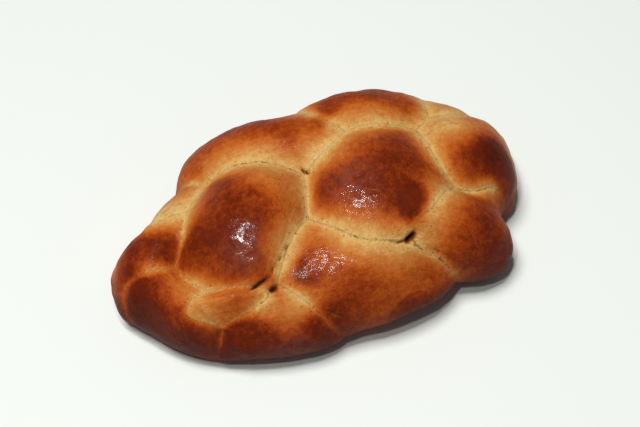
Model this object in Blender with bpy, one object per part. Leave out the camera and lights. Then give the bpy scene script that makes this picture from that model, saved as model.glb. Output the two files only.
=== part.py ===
"""A small braided loaf of white bread, plaited from four strands and baked as one piece.

The loaf is a single solid. Its form is that of the braid: a lobe is the stretch of one strand
that shows between two crossings, an arched roll that swells in its middle and dives under its
neighbours at both ends. The lobes and the heart of the loaf, where the strands lie over each
other, are fused, and the underside is flat where the loaf lay on its tray.

X runs along the loaf and Z is up. The origin is on the tray, under the middle of the loaf's
bounding box. Lengths in the tables are millimetres, and angles are degrees.
"""

import math
from collections import namedtuple

import bmesh
import bpy
from mathutils import Matrix, Vector

MM = 0.001

# ---- Driving sizes ------------------------------------------------------------------------
SINK = 3.0  # how far a lobe's round underside is pressed flat by the tray
HEART = (94.0, 54.0, 40.0)  # half length, half width and height of the crossed strands inside
FULLNESS = 2.6  # 2 tapers a lobe like an ellipse, more keeps it wide nearer its ends
RING_POINTS = 32
RINGS_PER_LOBE = 24

REMESH_STEP = 2.0  # the grid on which the lobes are fused
SOFTENING_STEPS = 3  # rounds off the bottoms of the creases
KEPT_FACES = 0.17  # share of the faces left on the finished solid

# A lobe: the place of its crest, the height of its top, its length along the strand and its
# width, where the strand heads (from +X, anticlockwise), how far it turns on the way, its
# thickness (0: it reaches down to the tray) and how far its ends dive, as a share of the height
# of its axis. Heights are those before the dome lowers them.
Lobe = namedtuple("Lobe", "name x y top length width heading bend thickness dive")
LOBES = (
    Lobe("crown_left", -41, 1, 64, 95, 60, 43, 10, 52, 0.35),
    Lobe("crown_middle", 31, -9, 62, 96, 77, 60, 35, 50, 0.35),
    Lobe("crown_right", 82, -5, 58, 68, 52, 78, 20, 48, 0.35),
    Lobe("near_left", -47, -41, 42, 74, 40, -17, 0, 0, 0.25),
    Lobe("near_middle", -6, -37, 50, 112, 57, -21, 0, 0, 0.25),
    Lobe("near_right", 53, -41, 56, 70, 43, -30, 5, 0, 0.25),
    Lobe("far_left", -4, 41, 59, 112, 50, -22, -56, 0, 0.4),
    Lobe("far_middle", 45, 39, 58, 96, 48, -14, -40, 0, 0.3),
    Lobe("far_right", 83, 26, 46, 50, 34, -30, -30, 0, 0.3),
    Lobe("tip_near", -91, -14, 48, 70, 28, -62, 30, 0, 0.25),
    Lobe("tip_far", -83, 14, 52, 66, 28, 34, 15, 0, 0.25),
    Lobe("tail_far", 100, -3, 42, 50, 26, 80, 20, 0, 0.3),
    Lobe("tail_near", 87, -20, 37, 34, 24, -40, 0, 0, 0.3),
    Lobe("pinched_strip", -70, -33, 50, 62, 12, -16, 25, 30, 0.25),
    Lobe("far_fold", -66, 28, 45, 54, 28, 40, 0, 40, 0.25),
)

# At its rim, this far out along and across, the loaf loses these shares of its height.
RIM = (115.0, 70.0)
RIM_DROP = (0.30, 0.22)

CRUST_COLOUR = (0.36, 0.11, 0.025, 1.0)
CRUST_ROUGHNESS = 0.35


def clear_scene():
    for obj in list(bpy.data.objects):
        bpy.data.objects.remove(obj)


def crust_material():
    material = bpy.data.materials.new("crust")
    material.use_nodes = True
    shader = material.node_tree.nodes["Principled BSDF"]
    shader.inputs["Base Color"].default_value = CRUST_COLOUR
    shader.inputs["Roughness"].default_value = CRUST_ROUGHNESS
    shader.inputs["Metallic"].default_value = 0.0
    material.diffuse_color = CRUST_COLOUR
    return material


def strand_point(lobe, s):
    """The strand's axis at s, from -1 to 1 along the lobe, and the direction across it."""
    turn = math.radians(lobe.bend)
    angle = math.radians(lobe.heading) + turn * s / 2
    half = lobe.length / 2
    if turn:
        radius = lobe.length / turn
        start = math.radians(lobe.heading)
        x = lobe.x + radius * (math.sin(angle) - math.sin(start))
        y = lobe.y - radius * (math.cos(angle) - math.cos(start))
    else:
        x = lobe.x + half * s * math.cos(angle)
        y = lobe.y + half * s * math.sin(angle)
    crest = lobe.top - half_thickness(lobe)
    z = crest * (1 - lobe.dive * s * s)
    return Vector((x, y, z)), Vector((-math.sin(angle), math.cos(angle), 0))


def half_thickness(lobe):
    return (lobe.thickness or lobe.top + SINK) / 2


def dome(x, y):
    """The share of its height that the loaf keeps at a place in plan."""
    return 1 - RIM_DROP[0] * (x / RIM[0]) ** 2 - RIM_DROP[1] * (y / RIM[1]) ** 2


def add_lobe(bm, lobe):
    """Draws a ball out along the strand's arc, with the lobe's width, thickness and fullness."""
    ball = bmesh.ops.create_uvsphere(
        bm, u_segments=RING_POINTS, v_segments=RINGS_PER_LOBE, radius=1.0)
    for vert in ball["verts"]:
        s = vert.co.z
        ring = Vector((vert.co.x, vert.co.y))
        if ring.length > 1e-6:
            ring.normalize()
        taper = math.sqrt(max(0.0, 1 - abs(s) ** FULLNESS))
        axis, across = strand_point(lobe, s)
        vert.co = (axis + across * (ring.x * taper * lobe.width / 2)
                   + Vector((0, 0, ring.y * taper * half_thickness(lobe))))
        vert.co.z *= dome(vert.co.x, vert.co.y)


def add_heart(bm):
    shape = Matrix.Diagonal((*HEART, 1.0))
    bmesh.ops.create_uvsphere(bm, u_segments=48, v_segments=24, radius=1.0, matrix=shape)


def strands_mesh():
    """The lobes and the heart as overlapping closed rolls, in metres."""
    bm = bmesh.new()
    for lobe in LOBES:
        add_lobe(bm, lobe)
    add_heart(bm)
    bmesh.ops.recalc_face_normals(bm, faces=bm.faces)
    bmesh.ops.scale(bm, vec=(MM, MM, MM), verts=bm.verts)
    mesh = bpy.data.meshes.new("loaf")
    bm.to_mesh(mesh)
    bm.free()
    return mesh


def tray_cutter():
    """What lies below the tray's surface."""
    bm = bmesh.new()
    size = Matrix.Diagonal((0.4, 0.4, 0.1, 1.0))
    bmesh.ops.create_cube(bm, size=1.0, matrix=Matrix.Translation((0, 0, -0.05)) @ size)
    mesh = bpy.data.meshes.new("tray_cutter")
    bm.to_mesh(mesh)
    bm.free()
    cutter = bpy.data.objects.new("tray_cutter", mesh)
    bpy.context.collection.objects.link(cutter)
    cutter.hide_render = True
    cutter.display_type = "WIRE"
    return cutter


def add_modifiers(loaf, cutter):
    fuse = loaf.modifiers.new("fuse", "REMESH")
    fuse.mode = "VOXEL"
    fuse.voxel_size = REMESH_STEP * MM
    soften = loaf.modifiers.new("soften", "SMOOTH")
    soften.factor = 0.5
    soften.iterations = SOFTENING_STEPS
    lighten = loaf.modifiers.new("lighten", "DECIMATE")
    lighten.ratio = KEPT_FACES
    flatten = loaf.modifiers.new("flatten", "BOOLEAN")
    flatten.operation = "DIFFERENCE"
    flatten.object = cutter


def centre(loaf):
    """Slides the loaf so that its bounding box is centred over the origin."""
    bpy.context.view_layer.update()
    baked = loaf.evaluated_get(bpy.context.evaluated_depsgraph_get())
    corners = [Vector(corner) for corner in baked.bound_box]
    for axis in range(2):
        values = [corner[axis] for corner in corners]
        loaf.location[axis] = -(min(values) + max(values)) / 2


def build():
    clear_scene()
    loaf = bpy.data.objects.new("loaf", strands_mesh())
    bpy.context.collection.objects.link(loaf)
    loaf.data.materials.append(crust_material())
    cutter = tray_cutter()
    add_modifiers(loaf, cutter)
    centre(loaf)


build()
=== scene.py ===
"""The looks of a small braided loaf: its baked crust, seams, cracks and wrinkles, on a pale floor.

The crust is one fine mesh in the place of the frame's plain solid. The lobes are those of the
braid: a lobe is the stretch of one strand that shows between two crossings. Their table is in
millimetres and degrees, and the finished mesh is in metres.
"""

import math
from collections import namedtuple

import bpy
import numpy as np
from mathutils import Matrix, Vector, noise


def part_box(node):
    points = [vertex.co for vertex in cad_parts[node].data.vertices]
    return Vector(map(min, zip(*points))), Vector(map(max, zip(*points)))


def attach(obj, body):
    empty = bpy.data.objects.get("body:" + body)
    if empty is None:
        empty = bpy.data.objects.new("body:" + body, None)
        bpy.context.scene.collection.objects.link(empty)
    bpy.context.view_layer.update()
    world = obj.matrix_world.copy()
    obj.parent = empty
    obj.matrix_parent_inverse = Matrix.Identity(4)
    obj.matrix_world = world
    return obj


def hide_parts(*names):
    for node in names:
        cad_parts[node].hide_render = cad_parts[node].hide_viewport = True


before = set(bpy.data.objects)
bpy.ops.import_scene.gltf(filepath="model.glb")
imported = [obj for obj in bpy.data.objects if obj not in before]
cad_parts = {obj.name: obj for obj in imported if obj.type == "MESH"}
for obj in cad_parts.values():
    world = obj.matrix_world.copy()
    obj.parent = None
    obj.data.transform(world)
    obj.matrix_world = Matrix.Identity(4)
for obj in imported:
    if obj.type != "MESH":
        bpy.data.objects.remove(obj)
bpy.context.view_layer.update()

MM = 0.001

# ---- The braid ----------------------------------------------------------------------------
SINK = 3.0  # how far a lobe's round underside is pressed flat by the tray
HEART = (94.0, 54.0, 40.0)  # half length, half width and height of the crossed strands inside
FULLNESS = 2.6  # 2 tapers a lobe like an ellipse, more keeps it wide nearer its ends

# A lobe: the place of its crest, the height of its top, its length along the strand and its
# width, where the strand heads (from +X, anticlockwise), how far it turns on the way, its
# thickness (0: it reaches down to the tray) and how far its ends dive, as a share of the height
# of its axis. Heights are those before the dome lowers them.
Lobe = namedtuple("Lobe", "name x y top length width heading bend thickness dive")
LOBES = (
    Lobe("crown_left", -41, 1, 64, 95, 60, 43, 10, 52, 0.35),
    Lobe("crown_middle", 31, -9, 62, 96, 77, 60, 35, 50, 0.35),
    Lobe("crown_right", 82, -5, 58, 68, 52, 78, 20, 48, 0.35),
    Lobe("near_left", -47, -41, 42, 74, 40, -17, 0, 0, 0.25),
    Lobe("near_middle", -6, -37, 50, 112, 57, -21, 0, 0, 0.25),
    Lobe("near_right", 53, -41, 56, 70, 43, -30, 5, 0, 0.25),
    Lobe("far_left", -4, 41, 59, 112, 50, -22, -56, 0, 0.4),
    Lobe("far_middle", 45, 39, 58, 96, 48, -14, -40, 0, 0.3),
    Lobe("far_right", 83, 26, 46, 50, 34, -30, -30, 0, 0.3),
    Lobe("tip_near", -91, -14, 48, 70, 28, -62, 30, 0, 0.25),
    Lobe("tip_far", -83, 14, 52, 66, 28, 34, 15, 0, 0.25),
    Lobe("tail_far", 100, -3, 42, 50, 26, 80, 20, 0, 0.3),
    Lobe("tail_near", 87, -20, 37, 34, 24, -40, 0, 0, 0.3),
    Lobe("pinched_strip", -70, -33, 50, 62, 12, -16, 25, 30, 0.25),
    Lobe("far_fold", -66, 28, 45, 54, 28, 40, 0, 40, 0.25),
)

# At its rim, this far out along and across, the loaf loses these shares of its height.
RIM = (115.0, 70.0)
RIM_DROP = (0.30, 0.22)

# Where the dough crept as it rose: a place, a radius, how far the crust there went, and the
# share of that way that the form underneath went with it.
Drift = namedtuple("Drift", "x y radius dx dy dz form")
DRIFTS = (
    Drift(20, -50, 20, -9, 10, 9.5, 0.5),
    Drift(-80, 22, 15, -5, -9, 4, 0.0),
    Drift(-100, 19, 14, -1.5, 4, 0, 1.0),
    Drift(74, -18, 15, -3, 0, 0, 0.5),
    Drift(48, -37, 13, 5, -2, 0, 0.5),
    Drift(6, -36, 14, -1, -4, -2, 0.5),
    Drift(-22, -16, 24, -4, 1, 0, 0.5),
    Drift(88, -34, 12, 2, 9, 4, 0.3),
    Drift(44, -56, 13, 3.5, 1, 0, 0.3),
    Drift(44, 26, 20, 0, 2.5, 0, 0.0),
)

# ---- The crust's mesh -----------------------------------------------------------------------
MESH_STEP = 1.0  # grid of the fine mesh
GRID_REACH = 0.7  # how far the grid goes past a lobe's crest, as a share of the lobe's length
GRID_SIDE = 80.0
GRID_HEIGHTS = (-2.0, 66.0)
CREASE_FILLET = 3.2  # how softly two lobes meet
EDGE_FILLET = 2.0  # how softly the sides meet the underside
LOBE_MARGIN = 14.0  # a lobe's distance is worked out up to here past its ends,
FAR = 60.0  # and is taken to be this beyond
LEAST_EXPONENT = -60.0  # of a lobe's share in a crease: below this it has none
DIVE_LIMIT = 1.2  # where a lobe's axis stops diving, in half lengths from its crest
LEAST_DOME = 0.5  # the least share of its height that a place is taken to keep
LEAST_SLOPE = 0.5  # of a lobe's field, in its middle, as a share of that at its surface
SLOPE_STEP = 0.3  # how far from a point the field is sampled for its slope
TINY = 1e-9
# The grid's points are drawn onto the surface in a few cautious steps.
PROJECTIONS = 4
PROJECTION_SHARE = 0.9
LONGEST_MOVE = 1.5
LEAST_SQUARED_SLOPE = 0.05

# ---- The crust's relief ---------------------------------------------------------------------
# Swellings: the size of the lumps and their height.
LUMPS = ((34.0, 0.9), (13.0, 0.4), (6.0, 0.18), (3.0, 0.08))
LUMP_GAIN = 1.6  # brings the noise to about -1 to 1
LUMP_SEED_STEPS = (17.3, 9.1, 5.7)  # where in the noise the next size of lumps is taken from
CRACK_DEPTH = 0.5
CRACK_WIDTH = 1.0
# Heights between which the marks, and the relief as a whole, fade in above the underside.
MARKS_FADE = (5.0, 12.0)
RELIEF_FADE = (0.3, 4.0)
# painted shade: a hole is painted dark inside, fully from this depth on
FULL_SHADE_DEPTH = 2.4  # a hole this deep is dark inside

# A mark in the crust: its place, its length and width, where it heads, and its depth (below 0:
# it stands up as a ridge).
Mark = namedtuple("Mark", "x y length width heading depth")
# The holes are also painted dark inside: painted shade, darker in deeper holes.
HOLES = (
    Mark(28, -46, 7, 2.8, 14, 4.0),
    Mark(22, -46, 6, 1.2, -4, 1.6),
    Mark(-45, -39, 4.5, 2.2, 5, 4.0),
    Mark(-51, -35, 12, 1.5, 8, 2.4),
    Mark(-23, -59, 10, 1.0, -34, 1.4),
    Mark(-1, 15, 5, 1.6, -60, 2.0),
    Mark(-30, -25, 3.4, 1.3, 40, 1.2),
    Mark(-36, -29, 2.4, 1.2, 40, 1.2),
    Mark(-42, -32, 3.2, 1.5, 40, 1.4),
    Mark(-73, 30, 6, 1.2, 35, 1.2),
    Mark(39, -54, 3.4, 1.1, -50, 1.2),
    Mark(44, -58, 3.0, 1.0, -50, 1.0),
)
FOLDS = (
    Mark(36, 14, 8, 1.6, 30, 0.9),
    Mark(44, 20, 7, 1.4, 20, 0.8),
    Mark(31, 9, 9, 2.0, 42, 0.6),
    Mark(-81, 26, 22, 2.0, 30, -0.8),
    Mark(-80, 22, 20, 1.6, 28, 0.6),
    Mark(-84, -26, 20, 2.2, -60, -0.9),
    Mark(-77, -38, 16, 2.0, -52, -0.8),
    Mark(-71, -50, 14, 1.8, -48, -0.5),
    Mark(-56, -44, 14, 1.8, 20, -0.7),
    Mark(-49, -44, 7, 1.8, -20, -0.8),
    Mark(-60, -33, 16, 1.8, 4, -0.5),
    Mark(-86, -8, 10, 1.8, -75, -0.6),
    Mark(-64, -8, 18, 3.0, 50, 0.4),
    Mark(-17, -36, 16, 2.4, -30, 0.4),
    Mark(-9, -42, 14, 2.0, -38, 0.4),
)

# ---- The crust's browning -------------------------------------------------------------------
# How brown each lobe gets away from its seams, on the scale of CRUST_COLOURS: 0 is cream.
CROWNS = {
    "crown_left": 1.04,
    "crown_middle": 1.10,
    "crown_right": 1.09,
    "near_left": 1.04,
    "near_middle": 1.06,
    "near_right": 1.07,
    "far_left": 0.90,
    "far_middle": 0.90,
    "far_right": 0.76,
    "tip_near": 1.10,
    "tip_far": 1.06,
    "tail_far": 0.64,
    "tail_near": 0.94,
    "pinched_strip": 0.66,
    "far_fold": 0.56,
}
PALE_BAND = 4.9  # how far a seam's pale band usually reaches into the crust
LEAST_BAND = 0.5
BAND_CURVE = 1.2  # above 1 the crust stays pale near the seam, and then browns faster
SEAM = 0.08  # how brown the crust is in a seam
# Where the pale band narrows between these widths, the seam gets this share of its lobe's tan.
CLOSED_BAND = (3.5, 0.5)
CLOSED_SEAM = 0.6
# Low on the sides, near the hot tray, even the seams and the palest lobes browned.
LOW_BROWNING = 0.9
LOW_BROWNING_FADE = (26.0, 8.0)
LOW_CROWN = 0.8
LOW_CROWN_FADE = (30.0, 14.0)
UNDERSIDE = 0.66  # how brown the crust is where it lay on the tray
UNDERSIDE_FADE = (3.0, 0.8)
# A spot: its place, its radius, and how strongly it works.
Spot = namedtuple("Spot", "x y radius amount")
# Where a strand was stretched late in the oven, its pale band reaches this much further, and
# where it was not, less far.
STRETCHED = (
    Spot(-58, 46, 10, -3.0),
    Spot(-32, 40, 12, 4.5),
    Spot(-16, 32, 12, 4.5),
    Spot(2, 20, 9, 3.0),
    Spot(12, 20, 10, 6.0),
    Spot(26, 27, 8, 2.0),
    Spot(30, 45, 12, -4.5),
    Spot(17, 33, 8, -3.5),
    Spot(42, 32, 12, 5.0),
    Spot(58, 26, 10, 1.5),
    Spot(90, 28, 12, 2.0),
    Spot(72, 14, 11, 4.5),
    Spot(82, 8, 12, 9.0),
    Spot(60, -32, 8, 2.5),
    Spot(38, -30, 11, -3.5),
    Spot(31, -38, 9, -3.0),
    Spot(-6, -30, 10, 3.0),
    Spot(4, -38, 12, 5.5),
    Spot(17, -47, 9, 2.0),
    Spot(-18, 0, 12, 4.0),
    Spot(-20, 14, 12, 3.5),
    Spot(-30, -24, 10, 3.5),
    Spot(-38, -28, 9, 1.0),
    Spot(-48, -48, 12, 3.5),
    Spot(-20, -50, 9, 3.0),
    Spot(-108, 2, 20, -5.0),
    Spot(-98, -30, 18, -5.0),
    Spot(-64, -56, 14, -4.0),
    Spot(-40, -68, 20, -3.0),
    Spot(-78, -46, 12, -3.0),
    Spot(-74, -1, 13, -4.0),
    Spot(-3, -2, 8, -2.5),
    Spot(-60, 22, 9, 2.5),
    Spot(-78, 45, 12, -4.5),
    Spot(32, -54, 9, -1.4),
    Spot(94, -37, 8, -5.0),
    Spot(-95, 3, 8, 1.2),
    Spot(-27, -36, 9, -2.5),
    Spot(-76, 31, 10, 3.0),
    Spot(74, 26, 12, -3.5),
    Spot(97, -18, 14, -4.0),
    Spot(-60, -32, 14, -3.2),
    Spot(-44, -39, 9, -3.4),
    Spot(-22, -37, 12, -3.2),
    Spot(-22, -62, 13, -5.0),
    Spot(44, -60, 10, -2.5),
)
# Some of the crust was tanned more than the rest of its lobe, and some less. Two spots low on the
# near side are painted light and painted shade instead.
TANNED = (
    Spot(-52, 56, 18, -0.08),
    Spot(0, 48, 16, 0.08),
    Spot(50, 48, 12, 0.10),
    Spot(-14, -36, 14, -0.34),
    Spot(-24, 14, 16, -0.30),
    Spot(20, 8, 18, -0.30),
    Spot(83, 7, 14, -0.60),
    Spot(-86, -16, 13, -0.56),
    Spot(-72, 18, 9, -0.25),
    Spot(102, 18, 13, -0.20),
    Spot(-28, -22, 9, -0.15),
    # painted light: near_middle's low edge made paler for the bluish light in its shade
    Spot(-4, -68, 15, -0.22),
    Spot(36, 18, 11, -0.15),
    Spot(86, -50, 11, -0.30),
    Spot(-104, -18, 14, 0.14),
    Spot(-80, -38, 7, -0.35),
    Spot(92, -12, 9, 0.18),
    # painted shade: the low rim at the near left made darker, against the floor's light on it
    Spot(-84, -46, 13, 0.14),
    Spot(-72, 50, 16, 0.40),
    Spot(90, -36, 9, -0.20),
)
# Where the crust split along the seams. The cracks fade in between these heights.
SPLITS_FADE = (3.0, 10.0)
SPLITS = (
    Spot(-22, 30, 20, 0.9),
    Spot(4, -34, 15, 0.8),
    Spot(24, -45, 10, 0.6),
    Spot(40, -56, 12, 0.9),
    Spot(80, -24, 14, 0.7),
    Spot(62, -22, 10, 0.4),
    Spot(68, 16, 14, 0.4),
    Spot(-30, -22, 14, 0.4),
    Spot(-26, -58, 10, 0.7),
    Spot(-52, -36, 12, 0.6),
)
# Where the egg wash lies thick and shines. It thins out towards a seam, where the gap to the
# next lobe is between these widths.
WASH_FADE = (3.0, 10.0)
WASHED = (
    Spot(-52, -20, 10, 1.3),
    Spot(13, -8, 11, 1.6),
    Spot(-14, -34, 10, 0.34),
    Spot(-42, -48, 12, 0.40),
)
LEAST_WASH = 0.02  # what lies everywhere else

# ---- The crust's textures -------------------------------------------------------------------
# Noises: scale, detail, roughness and, for some, distortion. Those that run along the strands
# are stretched by three scales per millimetre first, and the rest have a scale per metre.
FIBRES = (1.0, 3.0, 0.6)
FIBRE_STRETCH = (0.045, 0.8, 1.0)
WRINKLES = (1.0, 3.0, 0.6, 0.8)
WRINKLE_STRETCH = (0.30, 0.9, 1.0)
MOTTLE = (110.0, 4.0, 0.62)
PATCHES = (330.0, 4.0, 0.6)
SPECKS = (900.0, 2.0, 0.5)
WANDER = (260.0, 3.0, 0.6)
DASHES = (300.0, 2.0, 0.6)
PORES = (620.0, 2.0, 0.5)
LEATHER = (620.0, 3.0, 0.6)
RIPPLES = (150.0, 2.0, 0.5, 0.8)
PATCHY_WASH = (240.0, 3.0, 0.6)
STRAND_SPACING = 40.0  # keeps the textures of two strands apart
# How much of the browning they change.
FIBRE_AMOUNT = 0.95
MOTTLE_AMOUNT = 0.34
PATCH_AMOUNT = 0.42
SPECK_AMOUNT = 0.22
# Between which values of their noise they fade in.
WASH_PATCHES = (0.36, 0.56)
THINNEST_WASH = 0.25  # what is left of the wash between its patches
CRACK_DASHES = (0.47, 0.58)
PORE_EDGE = (0.63, 0.72)
# Between which distances, as gaps to the next lobe, they fade out.
CRACK_EDGE = (0.2, 0.7)
CRACK_WANDER = 2.4  # how far a crack strays from its seam
CRACK_REACH = (2.0, 4.0)
PORE_REACH = (3.0, 7.0)
# Between which depths in a hole, from 0 to 1, its two colours of painted shade set in.
HOLE_RIM = (0.15, 0.6)
HOLE_INSIDE = (0.5, 1.0)
# How strongly the cracks and pores are coloured.
CRACK_STRENGTH = 0.85
PORE_STRENGTH = 0.45
# The finest relief, as a bump in metres, and what it is made of.
BUMP = 0.0004
WRINKLE_BUMP = 0.8
LEATHER_BUMP = 0.2
CRACK_BUMP = 0.7
PORE_BUMP = 0.5
GLAZE_BUMP = 0.00026
GLAZE_WRINKLES = 0.45
GLAZE_RIPPLES = 1.3
SHADER_VALUES = {
    "Roughness": 0.5,
    "Specular IOR Level": 0.06,
    "Coat Roughness": 0.14,
    "Coat IOR": 2.0,
}

# ---- The view -------------------------------------------------------------------------------
# Lengths are metres in this section and the next.
CAMERA_AZIMUTH = -27.2
CAMERA_ELEVATION = 54.0
CAMERA_DISTANCE = 0.8
CAMERA_TARGET = Vector((0.0005, 0.0002, 0.0256))
FOCAL_LENGTH_PER_IMAGE_WIDTH = 2.4
SENSOR = 36.0

# ---- The floor and the light ------------------------------------------------------------------
FLOOR_SIZE = 6.0
FLOOR_DROP = 0.0002  # keeps the floor clear of the loaf's underside
FLOOR_COLOUR = (211, 214, 209)
FLOOR_ROUGHNESS = 0.7
# A round lamp: where it hangs, its size and power, and whether the glaze mirrors it.
Lamp = namedtuple("Lamp", "name azimuth elevation distance size power mirrored")
LAMPS = (
    Lamp("key", -120, 75, 4.5, 1.8, 191.0, False),
    Lamp("window", -52, 83, 1.3, 0.09, 3.8, True),
    Lamp("low_window", -55, 67.5, 1.3, 0.09, 3.4, True),
)
SKY_COLOUR = (0.93, 0.97, 1.0, 1.0)
SKY_STRENGTH = 0.13


# ---- Small helpers ---------------------------------------------------------------------------
def smoothstep(low, high, value):
    t = np.clip((value - low) / (high - low), 0.0, 1.0)
    return t * t * (3.0 - 2.0 * t)


def half_thickness(lobe):
    return (lobe.thickness or lobe.top + SINK) / 2


# ---- The lobes as a field --------------------------------------------------------------------
def strand_coordinates(lobe, points):
    """Where points lie in a lobe: s along it (-1 to 1 inside), and the offsets across and up."""
    start = math.radians(lobe.heading)
    turn = math.radians(lobe.bend)
    dx = points[:, 0] - lobe.x
    dy = points[:, 1] - lobe.y
    if turn:
        radius = lobe.length / turn
        cx = dx + radius * math.sin(start)
        cy = dy - radius * math.cos(start)
        side = math.copysign(1.0, radius)
        angle = np.arctan2(cx * side, -cy * side) - start
        angle = (angle + math.pi) % (2 * math.pi) - math.pi
        s = angle * radius / (lobe.length / 2)
        across = radius - side * np.hypot(cx, cy)
    else:
        s = (dx * math.cos(start) + dy * math.sin(start)) / (lobe.length / 2)
        across = -dx * math.sin(start) + dy * math.cos(start)
    crest = lobe.top - half_thickness(lobe)
    reach = np.clip(s, -DIVE_LIMIT, DIVE_LIMIT)
    up = points[:, 2] - crest * (1 - lobe.dive * reach * reach)
    return s, across, up


def lobe_distance(lobe, points):
    """About how far, in millimetres, points lie outside a lobe's surface (inside: below 0)."""
    s, across, up = strand_coordinates(lobe, points)
    half_width = lobe.width / 2
    half_height = half_thickness(lobe)
    half_length = lobe.length / 2
    along = np.abs(s) ** FULLNESS
    r = np.sqrt((across / half_width) ** 2 + (up / half_height) ** 2 + along) + TINY
    slope_across = across / half_width**2
    slope_up = up / half_height**2
    slope_along = FULLNESS / 2 * np.abs(s) ** (FULLNESS - 1) / half_length
    slope = np.sqrt(slope_across**2 + slope_up**2 + slope_along**2) / r
    slope = np.maximum(slope, LEAST_SLOPE / max(half_width, half_height))
    return (r - 1) / slope


def dome(x, y):
    """The share of its height that the loaf keeps at a place in plan."""
    return 1 - RIM_DROP[0] * (x / RIM[0]) ** 2 - RIM_DROP[1] * (y / RIM[1]) ** 2


def without_dome(points):
    flat = points.copy()
    flat[:, 2] /= np.maximum(dome(points[:, 0], points[:, 1]), LEAST_DOME)
    return flat


def without_drift(points, crust):
    """Where the dough at these points lay before it crept: that of the crust, or of the form."""
    still = points.copy()
    for drift in DRIFTS:
        away = np.hypot(points[:, 0] - drift.x, points[:, 1] - drift.y) / drift.radius
        share = np.exp(-away**2) * (1.0 if crust else drift.form)
        still -= np.outer(share, (drift.dx, drift.dy, drift.dz))
    return still


def heart_distance(points):
    return (np.linalg.norm(points / np.array(HEART), axis=1) - 1) * min(HEART)


def lobe_distances(points, crust=False):
    """Every lobe's distance from every point, worked out only where the lobe is near."""
    points = without_dome(without_drift(points, crust))
    distances = np.full((len(LOBES), len(points)), FAR)
    for index, lobe in enumerate(LOBES):
        reach = lobe.length / 2 + LOBE_MARGIN
        near = (np.abs(points[:, 0] - lobe.x) < reach) & (np.abs(points[:, 1] - lobe.y) < reach)
        distances[index, near] = lobe_distance(lobe, points[near])
    return distances


def loaf_distance(points):
    """The fused lobes and heart, with soft creases, cut off softly at the tray."""
    distances = np.vstack([lobe_distances(points), heart_distance(points)])
    nearest = distances.min(axis=0)
    shares = np.exp(np.clip((nearest - distances) / CREASE_FILLET, LEAST_EXPONENT, 0))
    fused = nearest - CREASE_FILLET * np.log(shares.sum(axis=0))
    below = -points[:, 2]
    h = np.clip(0.5 + 0.5 * (fused - below) / EDGE_FILLET, 0, 1)
    return below * (1 - h) + fused * h + EDGE_FILLET * h * (1 - h)


# The corners of a tetrahedron: four samples give a field's value and its slope.
CORNERS = np.array([(1, -1, -1), (-1, -1, 1), (-1, 1, -1), (1, 1, 1)], dtype=float)


def value_and_slope(field, points):
    samples = np.array([field(points + corner * SLOPE_STEP) for corner in CORNERS])
    return samples.mean(axis=0), (samples.T @ CORNERS) / (4 * SLOPE_STEP)


# ---- The crust's mesh -------------------------------------------------------------------------
def sample_grid():
    """The loaf's field on a grid around it, one slice across the loaf at a time."""
    bottom, top = GRID_HEIGHTS
    first = min(lobe.x - lobe.length * GRID_REACH for lobe in LOBES)
    last = max(lobe.x + lobe.length * GRID_REACH for lobe in LOBES)
    low = np.array([first, -GRID_SIDE, bottom])
    high = np.array([last, GRID_SIDE, top])
    xs, ys, zs = (np.arange(low[axis], high[axis], MESH_STEP) for axis in range(3))
    y, z = (part.ravel() for part in np.meshgrid(ys, zs, indexing="ij"))
    slices = [loaf_distance(np.stack([np.full(len(y), x), y, z], axis=1)) for x in xs]
    return low, np.array(slices).reshape(len(xs), len(ys), len(zs))


def surface_net(low, values):
    """A closed mesh of quads round the cells of the grid that the surface runs through."""
    inside = values < 0
    rows, columns, layers = inside.shape
    corners = sum(
        inside[i:rows - 1 + i, j:columns - 1 + j, k:layers - 1 + k].astype(int)
        for i in (0, 1) for j in (0, 1) for k in (0, 1))
    crossed = (corners > 0) & (corners < 8)
    number = np.full(crossed.shape, -1)
    number[crossed] = np.arange(crossed.sum())
    points = low + (np.argwhere(crossed) + 0.5) * MESH_STEP
    quads = []
    for axis in range(3):
        ahead = np.roll(inside, -1, axis=axis)
        places = np.argwhere(inside != ahead)
        leaving = inside[tuple(places.T)]
        second, third = ((axis + 1) % 3, (axis + 2) % 3)
        around = []
        for back_second, back_third in ((1, 1), (0, 1), (0, 0), (1, 0)):
            cell = places.copy()
            cell[:, second] -= back_second
            cell[:, third] -= back_third
            around.append(number[tuple(cell.T)])
        quad = np.stack(around, axis=1)
        quads.append(np.where(leaving[:, None], quad, quad[:, ::-1]))
    mesh = bpy.data.meshes.new("crust")
    mesh.from_pydata(points.tolist(), [], np.vstack(quads).tolist())
    mesh.update()
    return mesh


def mesh_points(mesh):
    points = np.empty(len(mesh.vertices) * 3, dtype=np.float64)
    mesh.vertices.foreach_get("co", points)
    return points.reshape(-1, 3)


def set_mesh_points(mesh, points):
    mesh.vertices.foreach_set("co", points.astype(np.float32).ravel())
    mesh.update()


def unit(vectors):
    return vectors / np.maximum(np.linalg.norm(vectors, axis=1), TINY)[:, None]


def project(points):
    """Moves points onto the loaf's surface, and returns them with the surface's normals."""
    for _ in range(PROJECTIONS):
        value, slope = value_and_slope(loaf_distance, points)
        squared = np.maximum((slope**2).sum(axis=1), LEAST_SQUARED_SLOPE)
        move = slope * (value / squared)[:, None]
        length = np.linalg.norm(move, axis=1)
        shortened = np.minimum(1.0, LONGEST_MOVE / np.maximum(length, TINY))
        points = points - PROJECTION_SHARE * move * shortened[:, None]
    slope = value_and_slope(loaf_distance, points)[1]
    return points, unit(slope)


def lumpy(points, size, seed):
    """Smooth noise, about -1 to 1, with lumps of the given size."""
    scale = 1.0 / size
    offset = Vector([seed * step for step in LUMP_SEED_STEPS])
    values = [noise.noise(Vector(point) * scale + offset) for point in points]
    return np.array(values) * LUMP_GAIN


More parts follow.
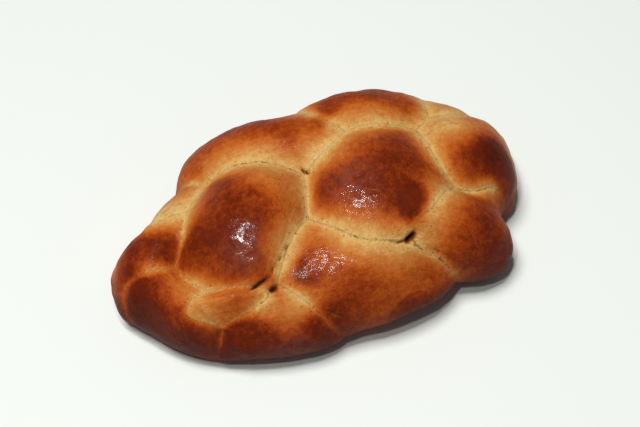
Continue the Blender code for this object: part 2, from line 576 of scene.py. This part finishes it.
def add_attribute(mesh, name, values):
    if values.ndim == 1:
        layer = mesh.attributes.new(name, "FLOAT", "POINT")
        layer.data.foreach_set("value", values.astype(np.float32))
    else:
        layer = mesh.attributes.new(name, "FLOAT_VECTOR", "POINT")
        layer.data.foreach_set("vector", values.astype(np.float32).ravel())


def crust_fields(points):
    """For each point: its lobe, how much further the next lobe is, the seam between the two (that
    gap, below 0 on one side), and its place in its own strand."""
    distances = lobe_distances(points, crust=True)
    order = np.argsort(distances, axis=0)
    own = order[0]
    columns = np.arange(len(points))
    gap = distances[order[1], columns] - distances[own, columns]
    seam = np.where(own < order[1], gap, -gap)
    strand = np.zeros((len(points), 3))
    for index, lobe in enumerate(LOBES):
        mine = own == index
        still = without_dome(without_drift(points[mine], crust=True))
        s, across, up = strand_coordinates(lobe, still)
        along = s * lobe.length / 2
        around = np.arctan2(across, up) * (lobe.width + lobe.top) / 4
        apart = np.full(len(s), index * STRAND_SPACING)
        strand[mine] = np.stack([along, around, apart], axis=1)
    return own, gap, seam, strand


def spots(points, table):
    """The sum of a table's spots, each fading out from its place."""
    total = np.zeros(len(points))
    for spot in table:
        away = np.hypot(points[:, 0] - spot.x, points[:, 1] - spot.y) / spot.radius
        total += spot.amount * np.exp(-away**2)
    return total


def browning(points, gap, own):
    """How brown the crust is: little in a seam, and about 1 on a lobe's crown."""
    height = points[:, 2]
    crown = np.array([CROWNS[lobe.name] for lobe in LOBES])[own]
    reach = np.maximum(PALE_BAND + spots(points, STRETCHED), LEAST_BAND)
    away = gap / 2 / reach
    away += LOW_BROWNING * smoothstep(*LOW_BROWNING_FADE, height)
    tan = crown + spots(points, TANNED)
    tan = np.maximum(tan, LOW_CROWN * smoothstep(*LOW_CROWN_FADE, height))
    seam = SEAM + (CLOSED_SEAM * tan - SEAM) * smoothstep(*CLOSED_BAND, reach)
    brown = seam + (tan - seam) * (1 - np.exp(-(away**BAND_CURVE)))
    return brown + (UNDERSIDE - brown) * smoothstep(*UNDERSIDE_FADE, height)


def share_of_mark(points, mark):
    """How far into a mark points lie, from 0 to 1."""
    heading = math.radians(mark.heading)
    dx = points[:, 0] - mark.x
    dy = points[:, 1] - mark.y
    along = (dx * math.cos(heading) + dy * math.sin(heading)) / (mark.length / 2)
    across = (-dx * math.sin(heading) + dy * math.cos(heading)) / (mark.width / 2)
    return np.exp(-(along**4 + across**2)) * smoothstep(*MARKS_FADE, points[:, 2])


def relief(points, gap):
    """How far the surface stands out, and the painted shade in a hole (0 to 1), from how deep in
    it a point lies.
    """
    height = np.zeros(len(points))
    for seed, (size, amount) in enumerate(LUMPS):
        height += amount * lumpy(points, size, seed)
    height -= CRACK_DEPTH * np.exp(-(gap / 2 / CRACK_WIDTH) ** 2)
    hole_shade = np.zeros(len(points))
    for hole in HOLES:
        inside = share_of_mark(points, hole)
        height -= hole.depth * inside
        # painted shade: a point deep in a deep hole is painted dark
        hole_shade = np.maximum(hole_shade, inside * min(1.0, hole.depth / FULL_SHADE_DEPTH))
    for fold in FOLDS:
        height -= fold.depth * share_of_mark(points, fold)
    return height * smoothstep(*RELIEF_FADE, points[:, 2]), hole_shade


def build_crust():
    mesh = surface_net(*sample_grid())
    points, normals = project(mesh_points(mesh))
    own, gap, seam, strand = crust_fields(points)
    height, hole_shade = relief(points, gap)
    add_attribute(mesh, "gap", gap)
    add_attribute(mesh, "strand", strand)
    add_attribute(mesh, "seam", seam)
    add_attribute(mesh, "browning", browning(points, gap, own))
    add_attribute(mesh, "hole_shade", hole_shade)
    split = np.minimum(spots(points, SPLITS), 1.0) * smoothstep(*SPLITS_FADE, points[:, 2])
    add_attribute(mesh, "split", split)
    wash = LEAST_WASH + spots(points, WASHED) * smoothstep(*WASH_FADE, gap)
    add_attribute(mesh, "wash", wash)
    points = points + normals * height[:, None]
    points[:, 2] = np.maximum(points[:, 2], 0.0)
    low, high = (np.array(corner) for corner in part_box("loaf"))
    middle = (points.min(axis=0) + points.max(axis=0)) / 2
    shift = (low + high) / 2 - middle * MM
    shift[2] = 0.0
    set_mesh_points(mesh, points * MM + shift)
    mesh.shade_smooth()
    crust = bpy.data.objects.new("crust", mesh)
    bpy.context.collection.objects.link(crust)
    return crust


# ---- The crust's material ---------------------------------------------------------------------
def srgb(red, green, blue):
    """An sRGB colour, 0 to 255, as linear RGBA."""
    channels = []
    for value in (red, green, blue):
        value /= 255
        channels.append(value / 12.92 if value <= 0.04045 else ((value + 0.055) / 1.055) ** 2.4)
    return (*channels, 1.0)


# The crust from its palest to its darkest.
CRUST_COLOURS = (
    (0.00, srgb(191, 161, 104)),
    (0.14, srgb(188, 146, 84)),
    (0.30, srgb(177, 119, 59)),
    (0.46, srgb(171, 98, 41)),
    (0.62, srgb(161, 78, 24)),
    (0.80, srgb(136, 53, 11)),
    (1.00, srgb(96, 29, 6)),
    (1.25, srgb(66, 20, 6)),
)
DARKEST = CRUST_COLOURS[-1][0]
# The colour of cracks and pores, also used as painted shade at the rims of holes, and the near
# black painted shade deep in holes.
CRACK_AND_SHADE_COLOUR = srgb(118, 58, 18)
HOLE_SHADE_COLOUR = srgb(38, 18, 8)


class Graph:
    """A material's nodes, added and linked with short calls."""

    # the colour mixer's sockets have the same names as its other ones, so they go by number
    FIRST_COLOUR, SECOND_COLOUR, MIXED_COLOUR = 6, 7, 2

    def __init__(self, material):
        material.use_nodes = True
        self.nodes = material.node_tree.nodes
        self.links = material.node_tree.links

    def add(self, kind, settings=None, **inputs):
        node = self.nodes.new(kind)
        for key, value in (settings or {}).items():
            setattr(node, key, value)
        for key, value in inputs.items():
            self.set(node.inputs[key.replace("_", " ")], value)
        return node

    def set(self, socket, value):
        if isinstance(value, bpy.types.NodeSocket):
            self.links.new(value, socket)
        else:
            socket.default_value = value

    def attribute(self, name, output="Fac"):
        return self.add("ShaderNodeAttribute", {"attribute_name": name}).outputs[output]

    def maths(self, operation, *values):
        node = self.add("ShaderNodeMath", {"operation": operation})
        for socket, value in zip(node.inputs, values):
            self.set(socket, value)
        return node.outputs[0]

    def times(self, first, second):
        return self.maths("MULTIPLY", first, second)

    def noise(self, vector, scale, detail, roughness, distortion=0.0):
        node = self.add("ShaderNodeTexNoise", Vector=vector, Scale=scale, Detail=detail,
                        Roughness=roughness, Distortion=distortion)
        return node.outputs["Fac"]

    def stretch(self, vector, scale):
        node = self.add("ShaderNodeMapping")
        self.set(node.inputs["Vector"], vector)
        node.inputs["Scale"].default_value = scale
        return node.outputs["Vector"]

    def remap(self, value, low, high, to_low=0.0, to_high=1.0):
        node = self.add("ShaderNodeMapRange", {"clamp": True, "interpolation_type": "SMOOTHSTEP"},
                        From_Min=low, From_Max=high, To_Min=to_low, To_Max=to_high, Value=value)
        return node.outputs["Result"]

    def ramp(self, value, stops):
        node = self.add("ShaderNodeValToRGB")
        elements = node.color_ramp.elements
        while len(elements) < len(stops):
            elements.new(0.5)
        for element, (position, colour) in zip(elements, stops):
            element.position = position
            element.color = colour
        self.set(node.inputs["Fac"], value)
        return node.outputs["Color"]

    def mix(self, factor, first, second):
        node = self.add("ShaderNodeMix", {"data_type": "RGBA"})
        self.set(node.inputs["Factor"], factor)
        self.set(node.inputs[self.FIRST_COLOUR], first)
        self.set(node.inputs[self.SECOND_COLOUR], second)
        return node.outputs[self.MIXED_COLOUR]

    def bump(self, height, distance):
        node = self.add("ShaderNodeBump", Strength=1.0, Distance=distance, Height=height)
        return node.outputs["Normal"]


def browned(graph, place, strand):
    """The colour of the crust, its browning broken up by fibres, mottling and specks."""
    brown = graph.attribute("browning")
    # fibres run along the strand where it was stretched, and fade out on the dark crowns
    fibres = graph.noise(graph.stretch(strand, FIBRE_STRETCH), *FIBRES)
    half_brown = graph.times(brown, graph.maths("SUBTRACT", 1.0, brown))
    textures = (
        (fibres, graph.times(half_brown, FIBRE_AMOUNT)),
        (graph.noise(place, *MOTTLE), MOTTLE_AMOUNT),
        (graph.noise(place, *PATCHES), PATCH_AMOUNT),
        (graph.noise(place, *SPECKS), SPECK_AMOUNT),
    )
    for texture, amount in textures:
        centred = graph.maths("SUBTRACT", texture, 0.5)
        brown = graph.maths("ADD", brown, graph.times(centred, amount))
    stops = [(position / DARKEST, colour) for position, colour in CRUST_COLOURS]
    return graph.ramp(graph.maths("DIVIDE", brown, DARKEST), stops)


def cracks(graph, place, gap):
    """A fine crack that wanders along each seam, and shows only here and there."""
    seam = graph.attribute("seam")
    wander = graph.maths("SUBTRACT", graph.noise(place, *WANDER), 0.5)
    line = graph.maths("ABSOLUTE", graph.maths("ADD", seam, graph.times(wander, CRACK_WANDER)))
    line = graph.remap(line, *CRACK_EDGE, 1.0, 0.0)
    near = graph.remap(gap, *CRACK_REACH, 1.0, 0.0)
    dashes = graph.remap(graph.noise(place, *DASHES), *CRACK_DASHES)
    crack = graph.times(graph.times(line, near), dashes)
    return graph.times(crack, graph.attribute("split"))


def pores(graph, place, gap):
    """Small pores in the pale bands on both sides of a seam."""
    pore = graph.remap(graph.noise(place, *PORES), *PORE_EDGE)
    return graph.times(pore, graph.remap(gap, *PORE_REACH, 1.0, 0.0))


def crust_material():
    material = bpy.data.materials.new("crust")
    graph = Graph(material)
    shader = graph.nodes["Principled BSDF"]
    place = graph.add("ShaderNodeTexCoord").outputs["Object"]
    strand = graph.attribute("strand", "Vector")
    gap = graph.attribute("gap")
    hole_shade = graph.attribute("hole_shade")

    crack = cracks(graph, place, gap)
    pore = pores(graph, place, gap)
    colour = browned(graph, place, strand)
    colour = graph.mix(graph.times(crack, CRACK_STRENGTH), colour, CRACK_AND_SHADE_COLOUR)
    colour = graph.mix(graph.times(pore, PORE_STRENGTH), colour, CRACK_AND_SHADE_COLOUR)
    # painted shade in the holes: the crack colour at their rims, near black deeper in
    colour = graph.mix(graph.remap(hole_shade, *HOLE_RIM), colour, CRACK_AND_SHADE_COLOUR)
    colour = graph.mix(graph.remap(hole_shade, *HOLE_INSIDE), colour, HOLE_SHADE_COLOUR)
    graph.set(shader.inputs["Base Color"], colour)

    wrinkles = graph.noise(graph.stretch(strand, WRINKLE_STRETCH), *WRINKLES)
    leather = graph.times(graph.noise(place, *LEATHER), LEATHER_BUMP)
    fine = graph.maths("ADD", graph.times(wrinkles, WRINKLE_BUMP), leather)
    fine = graph.maths("SUBTRACT", fine, graph.times(crack, CRACK_BUMP))
    fine = graph.maths("SUBTRACT", fine, graph.times(pore, PORE_BUMP))
    graph.set(shader.inputs["Normal"], graph.bump(fine, BUMP))

    # the glaze of egg wash has a smoother surface of its own, and lies in patches
    ripples = graph.times(graph.noise(place, *RIPPLES), GLAZE_RIPPLES)
    glaze = graph.maths("ADD", graph.times(wrinkles, GLAZE_WRINKLES), ripples)
    graph.set(shader.inputs["Coat Normal"], graph.bump(glaze, GLAZE_BUMP))
    patchy = graph.remap(graph.noise(place, *PATCHY_WASH), *WASH_PATCHES, THINNEST_WASH, 1.0)
    graph.set(shader.inputs["Coat Weight"], graph.times(graph.attribute("wash"), patchy))
    for name, value in SHADER_VALUES.items():
        shader.inputs[name].default_value = value
    return material


# ---- The setting ------------------------------------------------------------------------------
def add_floor():
    bpy.ops.mesh.primitive_plane_add(size=FLOOR_SIZE, location=(0, 0, -FLOOR_DROP))
    floor = bpy.context.object
    floor.name = "floor"
    material = bpy.data.materials.new("floor")
    material.use_nodes = True
    shader = material.node_tree.nodes["Principled BSDF"]
    shader.inputs["Base Color"].default_value = srgb(*FLOOR_COLOUR)
    shader.inputs["Roughness"].default_value = FLOOR_ROUGHNESS
    floor.data.materials.append(material)


def direction(azimuth, elevation):
    """From the loaf towards a camera or lamp. Azimuth 0 is in front, at -Y."""
    a = math.radians(azimuth)
    e = math.radians(elevation)
    return Vector((math.sin(a) * math.cos(e), -math.cos(a) * math.cos(e), math.sin(e)))


def add_camera():
    camera = bpy.data.objects.new("camera", bpy.data.cameras.new("camera"))
    bpy.context.collection.objects.link(camera)
    back = direction(CAMERA_AZIMUTH, CAMERA_ELEVATION)
    camera.location = CAMERA_TARGET + back * CAMERA_DISTANCE
    camera.rotation_euler = back.to_track_quat("Z", "Y").to_euler()
    camera.data.sensor_width = SENSOR
    camera.data.lens = SENSOR * FOCAL_LENGTH_PER_IMAGE_WIDTH
    bpy.context.scene.camera = camera


def add_lamp(lamp):
    light = bpy.data.lights.new(lamp.name, "AREA")
    light.shape = "DISK"
    light.size = lamp.size
    light.energy = lamp.power
    hung = bpy.data.objects.new(lamp.name, light)
    bpy.context.collection.objects.link(hung)
    back = direction(lamp.azimuth, lamp.elevation)
    hung.location = back * lamp.distance
    hung.rotation_euler = back.to_track_quat("Z", "Y").to_euler()
    hung.visible_glossy = lamp.mirrored


def add_lights():
    world = bpy.data.worlds.new("studio")
    world.use_nodes = True
    sky = world.node_tree.nodes["Background"]
    sky.inputs["Color"].default_value = SKY_COLOUR
    sky.inputs["Strength"].default_value = SKY_STRENGTH
    bpy.context.scene.world = world
    for lamp in LAMPS:
        add_lamp(lamp)
    bpy.context.scene.view_settings.view_transform = "Standard"


# ---- The scene --------------------------------------------------------------------------------
crust = build_crust()
crust.data.materials.clear()
crust.data.materials.append(crust_material())
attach(crust, "root")
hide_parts("loaf")

add_floor()
add_camera()
add_lights()
